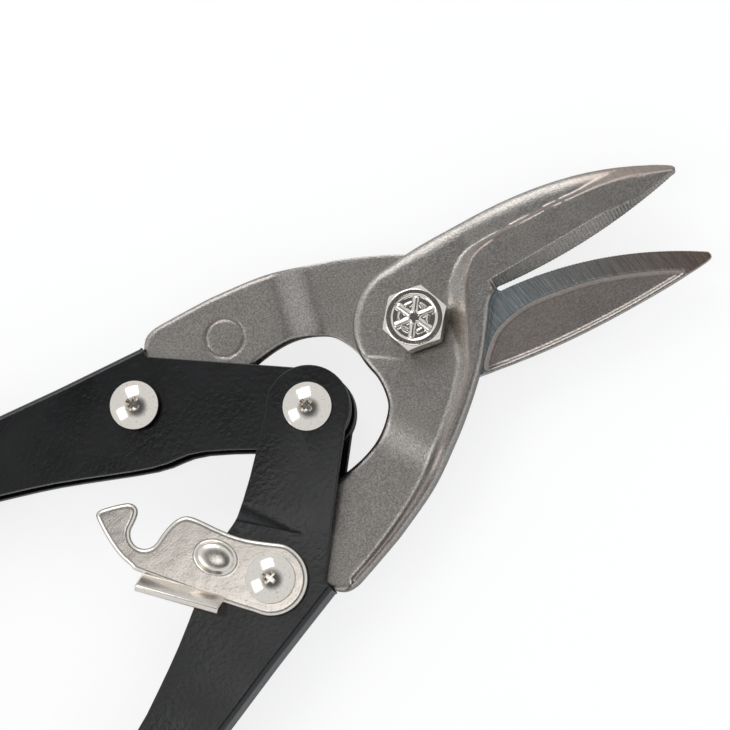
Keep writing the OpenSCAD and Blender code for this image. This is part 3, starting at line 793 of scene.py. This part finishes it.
# ---- Domed screws with a cross recess ----
screw = {"radius": 5.4, "high": 2.5, "dome": 8.6, "stem": 2.5, "wing": 2.45, "wingWide": 1.25, "deep": 1.9}
screwPlaces = {  # node: (body, joint it sits on, turn of its cross)
    "handle_pivot_screw": ("handle_lower", "handle_close", 8),
    "link_screw_upper": ("handle_upper", "rear_arm_pivot", 22),
    "link_screw_lower": ("handle_lower", "latch_pivot", 12),
}


def makeScrew(node, body, joint, turn):
    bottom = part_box(node)[0][2] * 1000
    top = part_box(node)[1][2] * 1000
    seat = top - screw["high"]
    # Half section of stem and head, spun round
    topArc = [(screw["dome"] * math.sin(a), top - screw["dome"] + screw["dome"] * math.cos(a))
              for a in np.linspace(0, math.asin((screw["radius"] - 0.25) / screw["dome"]), 14)]
    rim = topArc[-1]
    section = [(0, bottom), (screw["stem"] - 0.3, bottom), (screw["stem"], bottom + 0.3), (screw["stem"], seat),
               (screw["radius"] - 0.3, seat), (screw["radius"], seat + 0.25), (screw["radius"], rim[1] - 0.3),
               (screw["radius"] - 0.08, rim[1] - 0.1)] + topArc[::-1]
    bm = bmesh.new()
    verts = [bm.verts.new((x, 0, z)) for x, z in section]
    edges = [bm.edges.new(pair) for pair in zip(verts[:-1], verts[1:])]
    bmesh.ops.spin(bm, geom=verts + edges, cent=(0, 0, 0), axis=(0, 0, 1), angle=2 * math.pi, steps=72,
                   use_merge=True, use_duplicate=False)
    bmesh.ops.remove_doubles(bm, verts=bm.verts[:], dist=1e-4)
    cutters = []
    for quarter in (0, 90):
        wing = bmesh.new()
        bmesh.ops.create_cube(wing, size=1)
        bmesh.ops.scale(wing, verts=wing.verts[:], vec=(2 * screw["wing"], screw["wingWide"], 2 * screw["deep"]))
        low = [v for v in wing.verts if v.co.z < 0]
        bmesh.ops.scale(wing, verts=low, vec=(0.4, 0.7, 1))
        bevelEdges(wing, [e for e in wing.edges if abs(e.verts[0].co.z - e.verts[1].co.z) > 1], 0.22, 2)
        spot = Matrix.Translation((0, 0, top + 0.1)) @ Matrix.Rotation(math.radians(turn + quarter), 4, "Z")
        bmesh.ops.transform(wing, matrix=spot, verts=wing.verts[:])
        cutters.append(("DIFFERENCE", wing))
    cone = bmesh.new()
    bmesh.ops.create_cone(cone, cap_ends=True, segments=24, radius1=0.3, radius2=1.5, depth=2 * screw["deep"])
    bmesh.ops.translate(cone, verts=cone.verts[:], vec=(0, 0, top + 0.1))
    cutters.append(("DIFFERENCE", cone))
    centre = pivots[joint]
    addPiece(bm, node + "_finished", body, "bright_nickel", [node],
             Matrix.Translation((centre.x, centre.y, 0)), 32, cutters, weighted=True)


for node, facts in screwPlaces.items():
    makeScrew(node, *facts)


# ---- Latch ----
latch = {"turn": 121.5, "low": 4.9, "thick": 1.6, "reach": 29.5, "notch": 3.35, "hole": 2.55, "pitch": 0.3,
         "rim": (1.0, 0.7), "dimple": (12.9, -0.2, 4.9, 3.7, 1.5), "tab": (18.9, 5), "tabLean": 52}


def makeLatch():
    reach = latch["reach"]
    top = [(0, 7.9), (7.5, 8.2), (reach - 2, 8.15), (reach, 7.7), (reach + 3.6, 6.3), (reach + 7.6, 3.6),
           (reach + 11.2, 0.4), (reach + 11.7, -0.6), (reach + 11.1, -1.6)]
    hook = [(reach + 11.1, -1.6), (reach + 8.6, -3.4), (reach + 5.8, -5.0), (reach + 4.2, -5.0),
            (reach + 3.2, -3.9), (reach + 3.1, -1.6), (reach + 3.35, 0)]
    notch = arcLine((reach, 0), latch["notch"], 0, 180, 16)
    lower = [(reach - 3.35, 0), (reach - 4.4, -3.2), (reach - 6, -5.7), (reach - 8.6, -6.8),
             (reach * 0.45, -6.2), (reach * 0.26, -6.4), (0, -8)]
    end = arcLine((0, 0), 8, -90, -270, 30)
    lines = [evenLine(p, 0.4) for p in (smoothLine(top)[::-1], end[::-1], smoothLine(lower)[::-1], notch[::-1],
                                        smoothLine(hook)[::-1])]
    outline = np.vstack([line[:-1] for line in lines])
    for _ in range(3):
        outline = 0.5 * outline + 0.25 * (np.roll(outline, 1, 0) + np.roll(outline, -1, 0))
    bm, upper, lower = blank(outline, (0.1, 0.15, 0.25), latch["pitch"])
    wide, high = latch["rim"]
    x0, y0, halfLong, halfWide, lift = latch["dimple"]
    for verts, level, sign in ((upper, latch["low"] + latch["thick"], -1), (lower, latch["low"], 1)):
        places = flatPlaces(verts)
        gap, _, _ = nearLine(places, np.vstack([outline, outline[:1]]))
        q = np.hypot((places[:, 0] - x0) / halfLong, (places[:, 1] - y0) / halfWide)
        bump = lift * np.sqrt(np.clip(1 - q ** 2.6, 0, 1)) * ease((1 - q) / 0.25)
        fall = rimFall(gap, wide, high) if sign < 0 else rimFall(gap, 0.3, 0.2)
        setHeights(verts, level + sign * fall + (bump if sign < 0 else 0.9 * bump))
    # Thumb tab, sheared and bent up along the lower edge
    tab = bmesh.new()
    bmesh.ops.create_cube(tab, size=1)
    long, high = latch["tab"]
    bmesh.ops.scale(tab, verts=tab.verts[:], vec=(long, high + 1.2, latch["thick"]))
    bmesh.ops.translate(tab, verts=tab.verts[:], vec=(long / 2, (high - 1.2) / 2, -latch["thick"] / 2))
    bevelEdges(tab, tab.edges[:], 0.35, 3)
    lean = Matrix.Rotation(math.radians(latch["tabLean"]), 4, "X")
    spot = (Matrix.Translation((latch["reach"] * 0.27, 6.9, latch["low"] + latch["thick"]))
            @ Matrix.Rotation(math.radians(4), 4, "Z"))
    bmesh.ops.transform(tab, matrix=spot @ lean, verts=tab.verts[:])
    centre = pivots["latch_pivot"]
    place = Matrix.Translation((centre.x, centre.y, midZ)) @ Matrix.Rotation(math.radians(latch["turn"]), 4, "Z")
    addPiece(bm, "latch_stamping", "latch", "nickel_plate", ["latch"], place, 50,
             [("UNION", tab), ("DIFFERENCE", roundBar(latch["hole"], 0, 12))])


makeLatch()


# ---- Grips ----
grip = {"start": 6, "long": 92, "half": 10.5, "thick": 10, "pocket": (7.85, 4.5), "ribFrom": 30, "ribTo": 78,
        "ribPitch": 6, "ribDeep": 0.55, "waist": (73.996, -13.2), "turn": -18.5, "linkAngle": 39.79}


def makeGrip(name, body):
    start, end, half = grip["start"], grip["start"] + grip["long"], grip["half"]
    crown, lip = (8.5, 6.6), (1.6, 1.2)
    sections = [
        ([(start, half + 1.6), (start, -half - 1.4)], lip),
        (smoothLine([(start, -half - 1.4), (start + 4, -half - 1.8), (start + 12, -half), (start + 46, -half - 0.4),
                     (end - 16, -half + 0.3), (end - 4, -half + 3), (end, -half + 7)]), crown),
        ([(end, -half + 7), (end, half - 7)], crown),
        (smoothLine([(end, half - 7), (end - 4, half - 3), (end - 14, half - 0.4), (start + 55, half + 1.2),
                     (start + 27.6, half + 0.4), (start + 8, half + 0.6), (start + 3, half + 2.2),
                     (start, half + 1.6)]), crown),
    ]
    outline, (rim,) = joinSections(sections, [0.9] * 4)
    bm, upper, lower = blank(outline, (0.3, 0.5, 0.8), 0.9)
    for verts, side in ((upper, 1), (lower, -1)):
        places = flatPlaces(verts)
        gap, spot, _ = nearLine(places, np.vstack([outline, outline[:1]]))
        nearest = np.minimum(np.round(spot).astype(int), len(outline) - 1)
        x = places[:, 0]
        z = grip["thick"] - rimFall(gap, rim[nearest, 0], rim[nearest, 1])
        collar = ease((x - start - 9) / 7)  # the collar at the front stands proud of the body
        z = z - 0.9 * collar * (1 - ease((x - end + 40) / 30))
        ribbed = ease((x - grip["ribFrom"]) / 4) * ease((grip["ribTo"] - x) / 4) * ease((gap - 2.5) / 2)
        wave = 0.5 - 0.5 * np.cos(2 * math.pi * (x - grip["ribFrom"]) / grip["ribPitch"])
        z = z - grip["ribDeep"] * ribbed * ease((wave - 0.55) / 0.35)
        setHeights(verts, side * z)
    pocket = bmesh.new()
    bmesh.ops.create_cube(pocket, size=1)
    halfWide, halfHigh = grip["pocket"]
    bmesh.ops.scale(pocket, verts=pocket.verts[:], vec=(84, 2 * halfWide, 2 * halfHigh))
    bmesh.ops.translate(pocket, verts=pocket.verts[:], vec=(start - 2 + 42, 0, 0))
    hinge = pivots["handle_close"]
    onLink = Matrix.Translation(hinge) @ Matrix.Rotation(math.radians(grip["linkAngle"] - 180), 4, "Z")
    onGrip = Matrix.Translation((*grip["waist"], 0)) @ Matrix.Rotation(math.radians(grip["turn"]), 4, "Z")
    side = Matrix.Scale(-1, 4, (0, 1, 0)) if body == "handle_upper" else Matrix()
    addPiece(bm, name + "_moulding", body, "red_grip", [name], side @ onLink @ onGrip, 50,
             [("DIFFERENCE", pocket)])


makeGrip("grip_upper", "handle_upper")
makeGrip("grip_lower", "handle_lower")


# ---- Return spring ----
spring = {"wire": 0.745, "radius": 4.75, "legTurn": 5.74, "legLong": 42.5, "rise": 3.0, "turns": 2}


def makeSpring():
    away = 180 - grip["linkAngle"] + spring["legTurn"]  # direction of the upper leg
    sweep = 360 * spring["turns"] - 2 * (away - 90)
    first = -away - 90
    bm = bmesh.new()
    bmesh.ops.create_circle(bm, cap_ends=True, segments=20, radius=spring["wire"])
    stand = Matrix.Translation((spring["radius"], 0, -spring["rise"] / 2)) @ Matrix.Rotation(math.pi / 2, 4, "X")
    bmesh.ops.transform(bm, matrix=Matrix.Rotation(math.radians(first), 4, "Z") @ stand, verts=bm.verts[:])
    steps = 100
    bmesh.ops.spin(bm, geom=bm.verts[:] + bm.edges[:] + bm.faces[:], cent=(0, 0, 0), axis=(0, 0, 1),
                   dvec=(0, 0, spring["rise"] / steps), angle=-math.radians(sweep), steps=steps,
                   use_merge=False, use_duplicate=False)
    ends = [f for f in bm.faces if len(f.verts) == 20]
    for end in ends:
        side = 1 if end.calc_center_median().z > 0 else -1
        made = bmesh.ops.extrude_discrete_faces(bm, faces=[end])
        tip = made["faces"][0]
        along = Vector((math.cos(math.radians(away)), side * math.sin(math.radians(away)), 0))
        bmesh.ops.translate(bm, verts=tip.verts[:], vec=along * spring["legLong"])
    hinge = pivots["handle_close"]
    piece = addPiece(bm, "return_spring_wire", None, "spring_steel", ["return_spring"],
                     Matrix.Translation(hinge), 50)
    middle = hinge / 1000
    reach = Vector((0, 0.003, 0))
    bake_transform(piece, "handle_upper", "handle_lower", start=middle + reach, end=middle - reach)


makeSpring()
